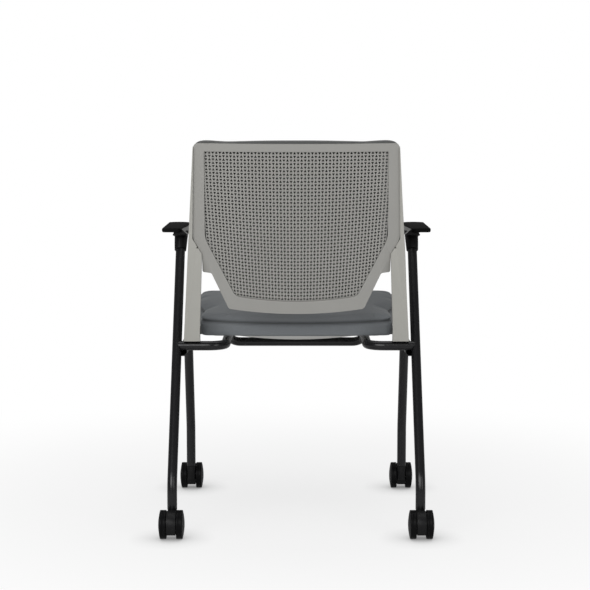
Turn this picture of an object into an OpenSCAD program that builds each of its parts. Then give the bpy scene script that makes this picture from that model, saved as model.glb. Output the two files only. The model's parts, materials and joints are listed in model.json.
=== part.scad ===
// Nesting chair: tubular frame on four twin-wheel casters, flip-up seat,
// perforated back shell, front upholstery and two armrests.
// X is across the chair, +Y is the sitter's forward side, Z is up, Z = 0 is the floor.

/* [Frame tube] */
// Outer diameter of every frame tube
tube_d = 21.4; // [18:0.2:25]
// Wall of every frame tube
tube_wall = 2; // [1.2:0.2:3]
// Distance between the centre planes of the two rear legs
rear_track = 538.8; // [500:1:580]
// Distance between the centre planes of the two front legs
front_track = 512; // [470:1:534]
// Distance from rear caster stems to front caster stems
wheelbase = 450; // [420:1:490]
// Height of the open lower end of the legs
leg_foot_z = 61; // [60:0.5:66]
// Height where the rear leg leaves the vertical
rear_knee_z = 112; // [100:1:130]
// Rake of the rear leg from the vertical, degrees
rear_rake = 33.3; // [28:0.1:35]
// Height of the tube end inside the armrest socket
arm_tube_z = 625; // [590:1:650]
// Height where the front leg leaves the vertical
front_knee_z = 157; // [140:1:175]
// Rake of the front leg from the vertical, degrees
front_rake = 18.9; // [14:0.1:21]
// Height of the side rail that joins front leg to rear leg
rail_z = 379; // [372:1:384]
// Centre-line radius of the knee bends
knee_r = 85; // [60:1:95]
// Centre-line radius of the tight bends
bend_r = 38; // [30:1:42]

/* [Seat carrier] */
// Height of the pivot bar behind the seat
bar_z = 391; // [388:1:398]
// Half distance between the seams where carrier and side stubs meet
seam_x = 224; // [221:0.5:226]
// Half distance between the two rails under the seat
carrier_x = 160.5; // [150:0.5:165]
// Forward place of the carrier's front bar, from the middle of the wheelbase
carrier_front_y = 280; // [260:1:300]
// Height of the carrier's front bar
carrier_front_z = 357; // [350:1:365]
// Length over which the rails dip to the front bar
carrier_dip = 44; // [40:1:52]
// Centre-line radius of the dip bends
dip_r = 24; // [20:1:28]

/* [Seat] */
// Forward place of the seat's pivot axis, from the middle of the wheelbase
pivot_y = 18; // [16:0.5:22]
// Height of the seat's pivot axis
pivot_z = 430; // [428:0.5:434]
// Tilt of the seat when it is down, degrees
seat_tilt = 2.5; // [1.5:0.1:3.5]
// Distance from the seat's rear edge to its front edge
seat_depth = 386; // [370:1:400]
// Overhang of the seat behind its pivot
seat_tail = 26; // [22:0.5:27]
// Width of the seat at its widest
seat_w = 474; // [464:1:490]
// Width of the seat between its hinges
seat_rear_w = 436; // [420:1:437]
// Height of the pad at its sides
pad_h = 44; // [38:0.5:50]
// Distance from pivot axis down to the bottom of the pad
pad_drop = 21; // [19:0.5:23]
// Plan radius of the seat's front corners
seat_front_r = 36; // [25:1:80]
// Plan radius of the seat's rear corners
seat_rear_r = 19; // [14:1:45]
// Thickness of the plywood board inside the pad
board_t = 7; // [5:0.5:9]
// Thickness of the seat pan
pan_t = 2.7; // [2:0.1:4]
// Depth of the pan's belly at the rear
belly_h = 6; // [4:0.5:8]

/* [Back] */
// Lean of the back from the vertical, degrees
back_lean = 15; // [12:0.5:18]
// Length of the back from pivot bar to top lip
back_len = 476; // [440:1:500]
// Half width of the back at the bar
back_foot_x = 253.4; // [250:0.2:256]
// Half width of the back at the top
back_top_x = 223.4; // [215:0.2:230]
// Plan radius of the curved back shell
shell_r = 3500; // [1400:50:6000]
// Thickness of the shell's solid border
shell_t = 5; // [4:0.2:6]
// Thickness of the perforated field
field_t = 3; // [2:0.2:3.6]
// Thickness of the uprights at the bar
upright_t = 24; // [22:0.5:28]
// Thickness of the uprights at the top
upright_top_t = 15; // [12:0.5:20]
// Distance of the uprights' rear face behind the bar's axis
upright_rear = 15.5; // [12:0.5:18]
// Depth of the shell's rear face below the uprights' rear face
shell_recess = 5; // [2:0.5:7]
// Width of the uprights at the bar
upright_w = 36.7; // [30:0.1:40]
// Thickness of the upholstery over the shell's centre
back_pad_t = 40; // [30:1:48]

/* [Perforation] */
// Across pitch of the triangular holes
hole_px = 16.8; // [15:0.2:22]
// Down pitch of the triangular holes
hole_pz = 16.4; // [15:0.2:22]
// Side of each triangular hole
hole_a = 11.4; // [8:0.2:12]

/* [Armrest] */
// Width of the arm pad
arm_w = 46; // [40:1:56]
// Length of the arm pad
arm_len = 235; // [210:1:260]
// Thickness of the arm pad
arm_t = 10; // [8:0.5:13]
// Height of the arm pad's top above the end of the leg tube
arm_rise = 25; // [21:1:40]
// Distance from tube plane to the arm pad's inner edge
arm_inset = 3.4; // [0:0.2:8]
// Arm pad behind the tube end
arm_tail = 52; // [40:1:60]
// Lower diameter of the armrest socket
socket_d = 27.2; // [26:0.2:30]
// Upper diameter of the armrest socket
socket_top_d = 33.8; // [32:0.2:38]
// Length of the armrest socket along the tube
socket_len = 46; // [40:1:52]

/* [Casters] */
// Wheel diameter
wheel_d = 62; // [58:0.5:62]
// Width of one wheel
wheel_w = 17.6; // [15:0.1:19]
// Width over both wheels
caster_w = 57; // [54:0.5:60]
// Distance from stem to wheel axle
caster_trail = 27; // [24:0.5:30]
// Diameter of the swivel stem
stem_d = 8; // [7:0.5:10]
// Diameter of the wheel axle
axle_d = 6; // [5:0.5:8]
// Height of the hood's flat lower edge
hood_z = 12; // [9:0.5:15]

/* [Fits] */
// Radial running clearance of pins, stems and axles
run_gap = 0.06; // [0.03:0.01:0.1]
// Gap between soft or moving pieces and their neighbours
soft_gap = 0.3; // [0.2:0.05:0.5]
// Diameter of the seat's hinge pins
pin_d = 8; // [6:0.5:10]
// Thickness of the hinge plates
plate_t = 4; // [3:0.5:4]
// Radius of the hinge eyes
eye_r = 11; // [9:0.5:12]
// Diameter of the panel screws
screw_d = 4; // [3:0.5:5]

/* [Hidden] */
$fn = 96;
over = 2;

tube_r = tube_d / 2;
bore_r = tube_r - tube_wall;
rear_x = rear_track / 2;
front_x = front_track / 2;
// the middle of the wheelbase, placed so that the whole part is centred on Y = 0
mid_y = (wheelbase / 2 + caster_trail + wheel_d / 2 - pivot_y - (seat_depth - seat_tail)) / 2;
rear_y = mid_y - wheelbase / 2;
front_y = mid_y + wheelbase / 2;
hinge_y = mid_y + pivot_y;
nose_y = mid_y + carrier_front_y;
// the raked part of the rear leg passes through this line
function rear_line_y(z) = rear_y + (z - rear_knee_z) * tan(rear_rake);
bar_y = rear_line_y(bar_z);
rail_rear_y = rear_line_y(rail_z);
rail_front_y = front_y - (rail_z - front_knee_z) * tan(front_rake);
arm_tube_y = rear_line_y(arm_tube_z);
carrier_dip_y = nose_y - carrier_dip;
carrier_top_z = bar_z + tube_r;

// Tube helpers: a path of straight runs with a true torus at each corner. Each run laps
// a hair into its bends, and the bends are a hair thinner, so that they join cleanly.
bend_lap = 0.05;
bend_step = 0.01;
function unit(v) = v / norm(v);
function turn(p, i) = acos(unit(p[i] - p[i - 1]) * unit(p[i + 1] - p[i]));
function setback(p, r, i) = (i == 0 || i == len(p) - 1) ? 0 : r[i] * tan(turn(p, i) / 2);

module run(a, b, r) {
    u = b - a;
    translate(a)
        rotate([0, acos(u.z / norm(u)), atan2(u.y, u.x)])
            cylinder(h = norm(u), r = r);
}

module elbow(p, r, i, tr) {
    u = unit(p[i] - p[i - 1]);
    w = unit(p[i + 1] - p[i]);
    n = unit(w - (w * u) * u);
    c = p[i] - setback(p, r, i) * u + r[i] * n;
    k = cross(-n, u);
    multmatrix([[-n.x, u.x, k.x, c.x], [-n.y, u.y, k.y, c.y], [-n.z, u.z, k.z, c.z], [0, 0, 0, 1]])
        rotate_extrude(angle = turn(p, i))
            translate([r[i], 0])
                circle(r = tr - bend_step);
}

module path(p, r, tr, extend = 0) {
    for (i = [0 : len(p) - 2]) {
        u = unit(p[i + 1] - p[i]);
        from = setback(p, r, i) - (i == 0 ? extend : bend_lap);
        to = setback(p, r, i + 1) - (i == len(p) - 2 ? extend : bend_lap);
        run(p[i] + from * u, p[i + 1] - to * u, tr);
    }
    for (i = [1 : 1 : len(p) - 2]) elbow(p, r, i, tr);
}

module tube(p, r) {
    difference() {
        path(p, r, tube_r);
        path(p, r, bore_r, over);
    }
}

module both() {
    children();
    mirror([1, 0, 0]) children();
}

// a bore through a plate that lies on Z = 0
module drill(t, r) {
    translate([0, 0, -over]) cylinder(h = t + 2 * over, r = r);
}

// Side frames
rear_path = [[rear_x, rear_y, leg_foot_z], [rear_x, rear_y, rear_knee_z], [rear_x, arm_tube_y, arm_tube_z]];
front_path = [[front_x, front_y, leg_foot_z], [front_x, front_y, front_knee_z],
    [front_x, rail_front_y, rail_z], [front_x, rail_rear_y, rail_z]];

// the straight raked part of the rear leg as a solid rod, for the cuts of what meets it
module raked_leg() {
    run([rear_x, rear_line_y(front_knee_z), front_knee_z], [rear_x, arm_tube_y, arm_tube_z], tube_r);
}

module rear_leg() {
    color("#26272a") tube(rear_path, [0, knee_r, 0]);
}

module front_leg() {
    color("#26272a")
        difference() {
            tube(front_path, [0, knee_r, bend_r, 0]);
            raked_leg();
            run([0, bar_y, bar_z], [rear_x, bar_y, bar_z], tube_r);
        }
}

module pivot_stub() {
    color("#26272a")
        difference() {
            run([seam_x, bar_y, bar_z], [rear_x, bar_y, bar_z], tube_r);
            run([seam_x - over, bar_y, bar_z], [rear_x, bar_y, bar_z], bore_r);
            raked_leg();
        }
}

carrier_path = [[seam_x, bar_y, bar_z], [carrier_x, bar_y, bar_z], [carrier_x, carrier_dip_y, bar_z],
    [carrier_x, nose_y, carrier_front_z], [-carrier_x, nose_y, carrier_front_z],
    [-carrier_x, carrier_dip_y, bar_z], [-carrier_x, bar_y, bar_z], [-seam_x, bar_y, bar_z]];

carrier_bends = [0, bend_r, dip_r, dip_r, dip_r, dip_r, bend_r, 0];
module seat_carrier() {
    color("#26272a") tube(carrier_path, carrier_bends);
}

// plugs pressed into the lower tube ends, bored for the caster stems
insert_end_gap = 1;
insert_len = rear_knee_z - knee_r * tan(rear_rake / 2) - leg_foot_z - insert_end_gap;
insert_flange_t = 2;
stem_len = insert_len * 0.9;
module leg_insert() {
    difference() {
        union() {
            cylinder(h = insert_len, r = bore_r);
            translate([0, 0, -insert_flange_t]) cylinder(h = insert_flange_t, r = tube_r);
        }
        translate([0, 0, -insert_flange_t - over])
            cylinder(h = stem_len + insert_flange_t + over, r = stem_d / 2 + run_gap);
    }
}
module leg_inserts() {
    color("#1b1c1e")
        both() {
            translate([rear_x, rear_y, leg_foot_z]) leg_insert();
            translate([front_x, front_y, leg_foot_z]) leg_insert();
        }
}

// Back: local frame with X across, Y forward, Z up along the back from the pivot bar
module back_frame() {
    translate([0, bar_y, bar_z]) rotate([back_lean, 0, 0]) children();
}

// outline of one upright as [half width, height up the back]
up_mid_share = 0.46;
up_in_share = 0.89;
up_top_share = 0.55;
up_bow = 1.6;
lip_r = 9;
up_mid_x = back_foot_x + (back_top_x - back_foot_x) * up_mid_share + up_bow;
up_mid_z = back_len * up_mid_share;
up_top_z = back_len - lip_r;
up_foot_z = tube_r * 0.8;
upright_outline = [[back_foot_x, up_foot_z], [up_mid_x, up_mid_z], [back_top_x, up_top_z],
    [back_top_x - upright_w * up_top_share, up_top_z], [up_mid_x - upright_w * up_in_share, up_mid_z],
    [back_foot_x - upright_w, upright_w], [back_foot_x - upright_w, up_foot_z]];
// side profile of one upright as [forward, height]
upright_side = [[-upright_rear, 0], [upright_t - upright_rear, 0], [upright_top_t - upright_rear, back_len],
    [-upright_rear, back_len]];

// the shell's front face is a cylinder that reaches the uprights' rear faces at the band
wing_x = 208;
wing_in_x = 187.9;
wing_z = 179.6;
step_z = 225;
band_x = 228;
band_z = 260;
corner_x = 150.5;
corner_z = 95.6;
chin_z = 84.3;
top_inset = 1.5;
shell_seat_y = shell_t + shell_recess - upright_rear;
shell_axis_y = shell_seat_y + sqrt(shell_r * shell_r - band_x * band_x);
function shell_y(x) = shell_axis_y - sqrt(shell_r * shell_r - x * x);

// outline of the shell, right half, as [half width, height], from the bottom centre up
chin_share = [0, 0.125, 0.25, 0.375, 0.5, 0.625, 0.75, 0.875, 1];
lip_x = back_top_x - top_inset - lip_r;
shell_half = concat([for (s = chin_share) [corner_x * s, chin_z + (corner_z - chin_z) * s * s]],
    [[wing_in_x, wing_z], [wing_x, wing_z], [wing_x, step_z], [band_x, band_z]],
    [for (a = [0 : 15 : 90]) [lip_x + lip_r * cos(a), back_len - lip_r + lip_r * sin(a)]]);
function flip(p) = [for (i = [len(p) - 1 : -1 : 0]) [-p[i].x, p[i].y]];

// outline of the perforated field, right half
field_top_x = 199.6;
field_top_z = 459;
field_side_x = 201;
field_side_z = 260;
field_low_x = 135.6;
field_low_z = 125.8;
field_chin_z = 113.8;
function field_chin(s) = field_chin_z + (field_low_z - field_chin_z) * s * s;
field_half = concat([for (s = chin_share) [field_low_x * s, field_chin(s)]],
    [[field_side_x, field_side_z], [field_top_x, field_top_z]]);

// extrudes an outline of the back along its forward axis
module back_plate(outline) {
    translate([0, shell_seat_y + lip_r, 0])
        rotate([90, 0, 0])
            linear_extrude(height = shell_axis_y) polygon(concat(outline, flip(outline)));
}

// the curved sheet between the shell's front face and a face the given thickness behind it
module back_sheet(t) {
    translate([0, shell_axis_y, 0])
        difference() {
            cylinder(h = back_len + over, r = shell_r + t, $fn = 256);
            translate([0, 0, -over]) cylinder(h = back_len + 3 * over, r = shell_r, $fn = 256);
        }
}

// triangular holes, every second one upside down
hole_cols = floor(field_side_x / hole_px);
hole_rows = floor((field_top_z - field_chin_z) / hole_pz);
tri_h = hole_a * sqrt(3) / 2;
hole_margin = hole_a * 0.75;
// half width of the field at a height, less the margin
field_slope = (field_side_x - field_low_x) / (field_side_z - field_low_z);
function field_x(z) = min(field_side_x, field_low_x + field_slope * (z - field_low_z)) - hole_margin;
module field_holes() {
    for (j = [0 : hole_rows - 1])
        for (i = [-hole_cols : hole_cols]) {
            x = (i + 0.5) * hole_px;
            z = field_top_z - (j + 0.5) * hole_pz;
            low = z - tri_h / 2;
            if (abs(x) < field_x(low) && low > field_chin(x / field_low_x) + hole_margin / 2)
                translate([x, z])
                    rotate((i + j) % 2 == 0 ? 30 : -30)
                        circle(r = hole_a / sqrt(3), $fn = 3);
        }
}

module back_shell() {
    color("#b3b2ab")
        back_frame() {
            difference() {
                intersection() {
                    back_plate(shell_half);
                    back_sheet(shell_t);
                }
                back_plate(field_half);
            }
            intersection() {
                back_sheet(field_t);
                translate([0, shell_seat_y + lip_r, 0])
                    rotate([90, 0, 0])
                        linear_extrude(height = shell_axis_y)
                            difference() {
                                polygon(concat(field_half, flip(field_half)));
                                field_holes();
                            }
            }
        }
}

module upright() {
    color("#b0afa8")
        difference() {
            back_frame()
                difference() {
                    intersection() {
                        translate([0, upright_t, 0])
                            rotate([90, 0, 0])
                                linear_extrude(height = 2 * upright_t) polygon(upright_outline);
                        rotate([90, 0, 90]) linear_extrude(height = back_foot_x + over) polygon(upright_side);
                    }
                    // seat for the shell, which lies over the upright above the step
                    intersection() {
                        back_plate([for (p = shell_half) [p.x + soft_gap, p.y]]);
                        back_sheet(upright_t);
                    }
                    for (z = screw_zs)
                        translate([screw_x, upright_front(z) - screw_head_t, z])
                            rotate([-90, 0, 0]) {
                                translate([0, 0, -upright_t])
                                    cylinder(h = 2 * upright_t, r = screw_d / 2 + run_gap);
                                cylinder(h = upright_t, r = screw_d + run_gap);
                            }
                }
            run([0, bar_y, bar_z], [rear_x, bar_y, bar_z], tube_r);
        }
}

// screws that hold the shell on the uprights, their heads sunk in the uprights' front
screw_x = 218;
screw_low_z = 240;
screw_share = [0, 0.5, 0.92];
screw_zs = [for (s = screw_share) screw_low_z + (back_len - screw_low_z) * s];
function upright_front(z) = upright_t - upright_rear + (upright_top_t - upright_t) * z / back_len;
screw_head_t = screw_d / 2;
screw_tip_y = shell_y(screw_x + screw_d / 2) + soft_gap;
module shell_screws() {
    color("#3a3b3d")
        back_frame()
            both()
                for (z = screw_zs)
                    translate([screw_x, upright_front(z), z])
                        rotate([90, 0, 0]) {
                            cylinder(h = screw_head_t, r = screw_d);
                            cylinder(h = upright_front(z) - screw_tip_y, r = screw_d / 2);
                        }
}

// Cushions: closed rings of points around an outline, from the bottom centre to the top centre
function lerp(a, b, t) = a + (b - a) * t;
function arc(c, r, a0, a1, n) = [for (i = [0 : n]) let (a = lerp(a0, a1, i / n)) c + r * [cos(a), sin(a)]];
function knot(j, i, n) = 1 + j * n + i % n;
function skin_faces(m, n) = concat(
    [for (i = [0 : n - 1]) [0, knot(0, i + 1, n), knot(0, i, n)]],
    [for (j = [0 : m - 2]) for (i = [0 : n - 1]) [knot(j, i, n), knot(j, i + 1, n), knot(j + 1, i + 1, n)]],
    [for (j = [0 : m - 2]) for (i = [0 : n - 1]) [knot(j, i, n), knot(j + 1, i + 1, n), knot(j + 1, i, n)]],
    [for (i = [0 : n - 1]) [1 + m * n, knot(m - 1, i, n), knot(m - 1, i + 1, n)]]);
// closes a half outline, from its first point on the centre line round to the last point given
function whole(half, end) = concat(half, [end], [for (i = [len(half) - 1 : -1 : 1]) [-half[i].x, half[i].y]]);

// seat outline, right half, from the rear centre to the front centre, as [across, forward of the pivot]
seat_front = seat_depth - seat_tail;
seat_hip_share = 0.30;
seat_wide_share = 0.54;
seat_side_x = seat_rear_w / 2;
seat_wide_x = seat_w / 2;
rear_bow = 4;
front_bow = 8;
seat_half = concat(
    [[0, -seat_tail], [seat_side_x / 3, -seat_tail + rear_bow / 6],
     [seat_side_x * 2 / 3, -seat_tail + rear_bow * 2 / 3]],
    arc([seat_side_x - seat_rear_r, -seat_tail + rear_bow + seat_rear_r], seat_rear_r, -90, 0, 5),
    [[seat_side_x, seat_depth * seat_hip_share - seat_tail],
     [lerp(seat_side_x, seat_wide_x, 0.7), seat_depth * 0.42 - seat_tail],
     [seat_wide_x, seat_depth * seat_wide_share - seat_tail], [seat_wide_x, seat_depth * 0.7 - seat_tail]],
    arc([seat_wide_x - seat_front_r, seat_front - front_bow - seat_front_r], seat_front_r, 0, 90, 6),
    [[seat_wide_x / 2, seat_front - front_bow / 4], [seat_wide_x / 4, seat_front - front_bow / 16]]);
seat_ring = whole(seat_half, [0, seat_front]);
seat_mid = [0, seat_depth / 2 - seat_tail];
function shrink(ring, c, s) = [for (p = ring) c + (p - c) * s];
// top of the pad above its bottom plane: dished across, lowest at the rear centre
pad_rear_h = pad_h * 0.62;
pad_front_h = pad_h * 1.12;
front_roll = pad_h * 0.36;
function across(p) = min(1, abs(p.x) / seat_side_x);
function along(p) = (p.y + seat_tail) / seat_depth;
function pad_top(p) = lerp(lerp(pad_rear_h, pad_h, across(p) * across(p)), pad_front_h, pow(along(p), 0.8))
    - front_roll * pow(max(0, along(p) - 0.86) / 0.14, 2);
// rings as [share of the outline, share of the local top height]; height 0 is the bottom plane
board_share = 0.88;
pad_ring_share = [[0.8, -1], [board_share, -1], [board_share + 0.002, 0], [0.93, 0], [0.97, 0.12],
    [0.99, 0.3], [1, 0.52], [0.992, 0.72], [0.976, 0.9], [0.962, 0.93], [0.95, 0.85], [0.938, 0.95], [0.9, 1.0],
    [0.8, 1.015], [0.6, 1.0], [0.35, 0.985]];
recess_z = board_t + soft_gap;
module seat_frame() {
    translate([0, hinge_y, pivot_z]) rotate([seat_tilt, 0, 0]) children();
}
module seat_pad() {
    n = len(seat_ring);
    pts = concat([[seat_mid.x, seat_mid.y, recess_z]],
        [for (r = pad_ring_share) for (p = shrink(seat_ring, seat_mid, r[0]))
            [p.x, p.y, r[1] < 0 ? recess_z : r[1] * pad_top(p)]],
        [[seat_mid.x, seat_mid.y, pad_top(seat_mid) * 0.985]]);
    color("#63666a")
        seat_frame()
            translate([0, 0, -pad_drop])
                polyhedron(pts, skin_faces(len(pad_ring_share), n), convexity = 6);
}

module seat_plate(share, z, t) {
    translate([0, 0, z - pad_drop]) linear_extrude(height = t) polygon(shrink(seat_ring, seat_mid, share));
}
pan_share = 0.905;
board_in_share = 0.868;
module seat_board() {
    color("#b08a5c") seat_frame() seat_plate(board_in_share, 0, board_t);
}
belly_x = 112;
belly_r = (belly_x * belly_x + belly_h * belly_h) / (2 * belly_h);
belly_share = 0.972;
belly_fade = 1.9;
module seat_pan() {
    color("#a5a5a0")
        seat_frame() {
            difference() {
                union() {
                    seat_plate(pan_share, -pan_t, pan_t);
                    intersection() {
                        seat_plate(belly_share, -pan_t - 2 * belly_h, pan_t + 2 * belly_h);
                        translate([0, -seat_tail, -pad_drop - pan_t])
                            rotate([belly_fade, 0, 0])
                                translate([0, -over, belly_r - belly_h])
                                    rotate([-90, 0, 0]) cylinder(h = seat_depth, r = belly_r, $fn = 720);
                    }
                }
                for (p = pan_screw_places)
                    translate([p.x, p.y, -pad_drop - pan_t - 3 * belly_h])
                        cylinder(h = 2 * pan_t + 6 * belly_h, r = screw_d / 2 + run_gap);
            }
        }
}

// hinge arms under the pan carry the seat on its pins
arm_side_gap = 3.5;
arm_in_x = seat_rear_w / 2 + arm_side_gap;
arm_out_x = arm_in_x + plate_t;
arm_gap = 1.5;
bracket_in_x = arm_out_x + arm_gap;
flange_w = 36;
flange_y = 34;
flange_len = 74;
flange_t = 3;
flange_z = -pad_drop - pan_t;
flange_end = flange_y + flange_len;
pan_screw_x = arm_in_x - flange_w * 0.62;
pan_screw_share = [0.22, 0.78];
pan_screw_places = [for (sx = [-1, 1]) for (k = pan_screw_share)
    [sx * pan_screw_x, flange_y + flange_len * k]];
module seat_arm() {
    color("#2a2b2d")
        seat_frame()
            difference() {
                union() {
                    rotate([90, 0, 90])
                        translate([0, 0, arm_in_x])
                            linear_extrude(height = plate_t)
                                polygon([[-eye_r * 0.5, -eye_r * 0.8], [flange_y, flange_z - flange_t],
                                    [flange_end, flange_z - flange_t], [flange_end, flange_z + flange_t],
                                    [flange_y + eye_r, flange_z + eye_r], [eye_r * 0.5, eye_r * 0.8]]);
                    translate([arm_in_x, 0, 0]) rotate([0, 90, 0]) cylinder(h = plate_t, r = eye_r);
                    translate([arm_in_x - flange_w, flange_y, flange_z - flange_t])
                        cube([flange_w + plate_t, flange_len, flange_t]);
                }
                translate([arm_in_x, 0, 0]) rotate([0, 90, 0]) drill(plate_t, pin_d / 2 + run_gap);
                for (p = pan_screw_places)
                    translate([p.x, p.y, flange_z - flange_t]) drill(flange_t, screw_d / 2 + run_gap);
            }
}
module pan_screws() {
    color("#3a3b3d")
        seat_frame()
            for (p = pan_screw_places)
                translate([p.x, p.y, flange_z - flange_t]) {
                    translate([0, 0, -screw_d / 2]) cylinder(h = screw_d / 2, r = screw_d);
                    cylinder(h = flange_t + pan_t - soft_gap, r = screw_d / 2);
                }
}

// rubber rests under the pan, standing on the carrier rails
rest_setback = 12;
rest_y = carrier_dip_y - dip_r - hinge_y - rest_setback;
rest_d = 18;
module rest_pads() {
    color("#2b2b2b")
        difference() {
            seat_frame()
                both()
                    translate([carrier_x, rest_y, flange_z - eye_r * 3])
                        cylinder(h = eye_r * 3, r = rest_d / 2);
            translate([-rear_x, -wheelbase, 0]) cube([rear_track, 2 * wheelbase, carrier_top_z + soft_gap]);
        }
}

// the frame's tubes as solid rods, for the cuts of what is welded on them
module frame_rods() {
    raked_leg();
    run([seam_x, bar_y, bar_z], [rear_x, bar_y, bar_z], tube_r);
    run([front_x, rail_front_y, rail_z], [front_x, rail_rear_y, rail_z], tube_r);
    path(carrier_path, carrier_bends, tube_r);
}

// brackets welded on the pivot stubs, or on the legs where the seat is that wide
module hinge_bracket() {
    color("#26272a")
        difference() {
            translate([bracket_in_x, 0, 0])
                rotate([90, 0, 90])
                    linear_extrude(height = plate_t)
                        polygon([[bar_y, bar_z], [bar_y + tube_r * 0.5, bar_z - tube_r],
                            [bar_y + tube_r * 1.6, bar_z - tube_r],
                            [hinge_y + eye_r * 0.55, pivot_z - eye_r * 0.83],
                            [hinge_y - eye_r * 0.55, pivot_z + eye_r * 0.83], [bar_y, bar_z + tube_r * 1.5]]);
            frame_rods();
            back_frame()
                translate([0, -upright_t, 0])
                    cube([back_foot_x, 2 * upright_t - upright_rear + soft_gap, back_len]);
            translate([bracket_in_x, hinge_y, pivot_z]) rotate([0, 90, 0]) drill(plate_t, eye_r - over);
        }
    color("#26272a")
        translate([bracket_in_x, hinge_y, pivot_z])
            rotate([0, 90, 0])
                difference() {
                    cylinder(h = plate_t, r = eye_r);
                    drill(plate_t, pin_d / 2);
                }
}
pin_head_t = 2.5;
pin_start_x = arm_in_x - pin_head_t / 2;
pin_len = bracket_in_x + plate_t - pin_start_x;
module hinge_pins() {
    color("#8d8f92")
        both()
            translate([pin_start_x, hinge_y, pivot_z])
                rotate([0, 90, 0]) {
                    cylinder(h = pin_len, r = pin_d / 2);
                    translate([0, 0, pin_len]) cylinder(h = pin_head_t, r = pin_d * 0.75);
                }
}

// Armrests
arm_top_z = arm_tube_z + arm_rise;
arm_pad_x = rear_x - arm_inset;
arm_pad_y = arm_tube_y - arm_tail;
arm_pad_z = arm_top_z - arm_t;
arm_end_r = arm_w * 0.22;
arm_edge = arm_t * 0.3;
module arm_slab(inset, z, t) {
    r = arm_end_r - inset;
    translate([arm_pad_x + inset, arm_pad_y + inset, z])
        linear_extrude(height = t) {
            w = arm_w - 2 * inset;
            l = arm_len - 2 * inset;
            translate([r, 0]) square([w - 2 * r, l]);
            translate([0, r]) square([w, l - 2 * r]);
            for (x = [r, w - r]) for (y = [r, l - r]) translate([x, y]) circle(r = r);
        }
}
module arm_pad() {
    color("#1d1d1f") {
        arm_slab(arm_edge, arm_pad_z, arm_edge);
        arm_slab(0, arm_pad_z + arm_edge, arm_t - 2 * arm_edge);
        arm_slab(arm_edge, arm_top_z - arm_edge, arm_edge);
    }
}

socket_u = [0, sin(rear_rake), cos(rear_rake)];
arm_tube_end = [rear_x, arm_tube_y, arm_tube_z];
arm_wedge = arm_w * 0.3;
platform_y0 = arm_pad_y + arm_w * 0.4;
platform_len = arm_len * 0.78;
platform_t = arm_t * 1.1;
platform_z = arm_pad_z - platform_t;
platform_in_x = rear_x - socket_top_d / 2;
arm_screw_share = [0.5, 0.85];
arm_screw_ys = [for (k = arm_screw_share) platform_y0 + platform_len * k];
arm_screw_x = arm_pad_x + arm_w / 2;
module arm_bracket() {
    p0 = arm_tube_end - socket_u * (socket_len - (arm_pad_z - arm_tube_z) / cos(rear_rake));
    color("#1c1d1f")
        difference() {
            union() {
                intersection() {
                    translate(p0)
                        rotate([-rear_rake, 0, 0])
                            cylinder(h = socket_len + socket_top_d,
                                r1 = socket_d / 2, r2 = socket_top_d - socket_d / 2);
                    translate([0, -wheelbase, 0]) cube([rear_track, 2 * wheelbase, arm_pad_z]);
                }
                // platform under the pad, with a sloping inner side that closes on the pad's edge
                intersection() {
                    translate([0, platform_y0 + platform_len, 0])
                        rotate([90, 0, 0])
                            linear_extrude(height = platform_len)
                                polygon([[platform_in_x, arm_pad_z - platform_t * 0.55],
                                    [arm_pad_x - soft_gap, arm_top_z - arm_edge],
                                    [arm_pad_x - soft_gap, arm_pad_z], [arm_pad_x + arm_w * 0.62, arm_pad_z],
                                    [arm_pad_x + arm_w * 0.56, platform_z],
                                    [platform_in_x + arm_edge, platform_z]]);
                    rotate([90, 0, 90])
                        linear_extrude(height = rear_track)
                                polygon([[platform_y0, arm_top_z],
                                    [platform_y0, arm_pad_z - platform_t * 0.6],
                                    [platform_y0 + platform_t, platform_z],
                                    [platform_y0 + platform_len * 0.62, platform_z],
                                    [platform_y0 + platform_len, arm_pad_z - platform_t * 0.3],
                                    [platform_y0 + platform_len, arm_pad_z],
                                    [platform_y0 + platform_len * 0.9, arm_top_z]]);
                }
            }
            raked_leg();
            for (y = arm_screw_ys)
                translate([arm_screw_x, y, platform_z]) drill(platform_t, screw_d / 2 + run_gap);
        }
}
module arm_screws() {
    color("#3a3b3d")
        both()
            for (y = arm_screw_ys)
                translate([arm_screw_x, y, arm_pad_z - platform_t]) {
                    cylinder(h = platform_t - soft_gap / 2, r = screw_d / 2);
                    translate([0, 0, -screw_d]) cylinder(h = screw_d, r = screw_d * 0.9);
                }
}

// Back upholstery: rings from the rear centre to the front centre
pad_over = 5.7;
pad_side_in = 5;
pad_corner_r = pad_side_in * 4;
back_half = concat(
    [[0, chin_z + pad_side_in], [corner_x / 2, lerp(chin_z, corner_z, 0.25) + pad_side_in],
     [corner_x - pad_side_in, corner_z + pad_side_in],
     [(corner_x + wing_in_x) / 2 - pad_side_in, (corner_z + wing_z) / 2],
     [wing_in_x - pad_side_in, wing_z + pad_side_in], [wing_x - pad_side_in, step_z],
     [band_x - 2.2 * pad_side_in, band_z + pad_side_in], [back_top_x - pad_side_in, (band_z + back_len) / 2]],
    arc([back_top_x - pad_side_in - pad_corner_r, back_len + pad_over - pad_corner_r], pad_corner_r, 0, 90, 5),
    [[back_top_x / 2, back_len + pad_over]]);
back_ring = whole(back_half, [0, back_len + pad_over]);
back_mid = [0, back_len * 0.62];
function pad_rear_y(p) = max(shell_y(p.x) + soft_gap,
    abs(p.x) > back_top_x - upright_w * 1.15 ? upright_front(p.y) + soft_gap : -shell_r);
function pad_front_y(p) = shell_y(p.x) + back_pad_t;
function pad_point(p, share) = [p.x, lerp(pad_rear_y(p), pad_front_y(p), share), p.y];
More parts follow.
